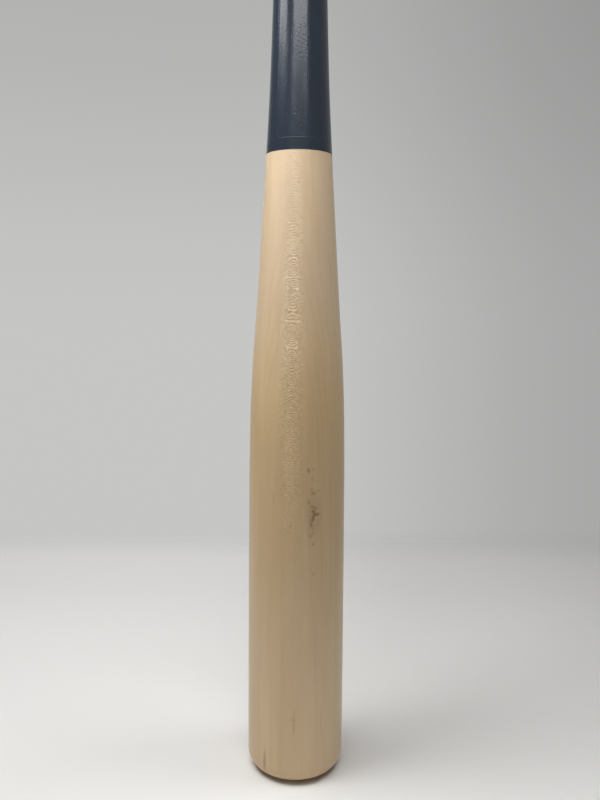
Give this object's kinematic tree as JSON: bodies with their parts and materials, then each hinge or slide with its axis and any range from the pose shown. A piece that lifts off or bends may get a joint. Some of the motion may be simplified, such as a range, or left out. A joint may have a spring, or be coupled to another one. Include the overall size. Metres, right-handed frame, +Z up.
{
  "type": "wooden baseball bat",
  "caption": "Turned maple baseball bat with a cupped barrel end, a natural clear-lacquered barrel, and a navy-lacquered handle that flares into a round knob.",
  "frame": {"origin": "centre of the rim at the barrel end, which the bat stands on", "axes": "+Z up along the bat, from the barrel end to the knob; the bat is round about Z, so X and Y are free"},
  "size_m": [0.065, 0.065, 0.8636],
  "materials": {
    "maple": "fine sanded maple, straight pale grain",
    "navy_lacquer": "dark navy lacquer, satin, slightly grainy",
    "clear_lacquer": "clear lacquer film, satin"
  },
  "bodies": {
    "root": {"maple_billet": "maple", "navy_handle_coat": "navy_lacquer", "clear_barrel_coat": "clear_lacquer"}
  },
  "joints": []
}
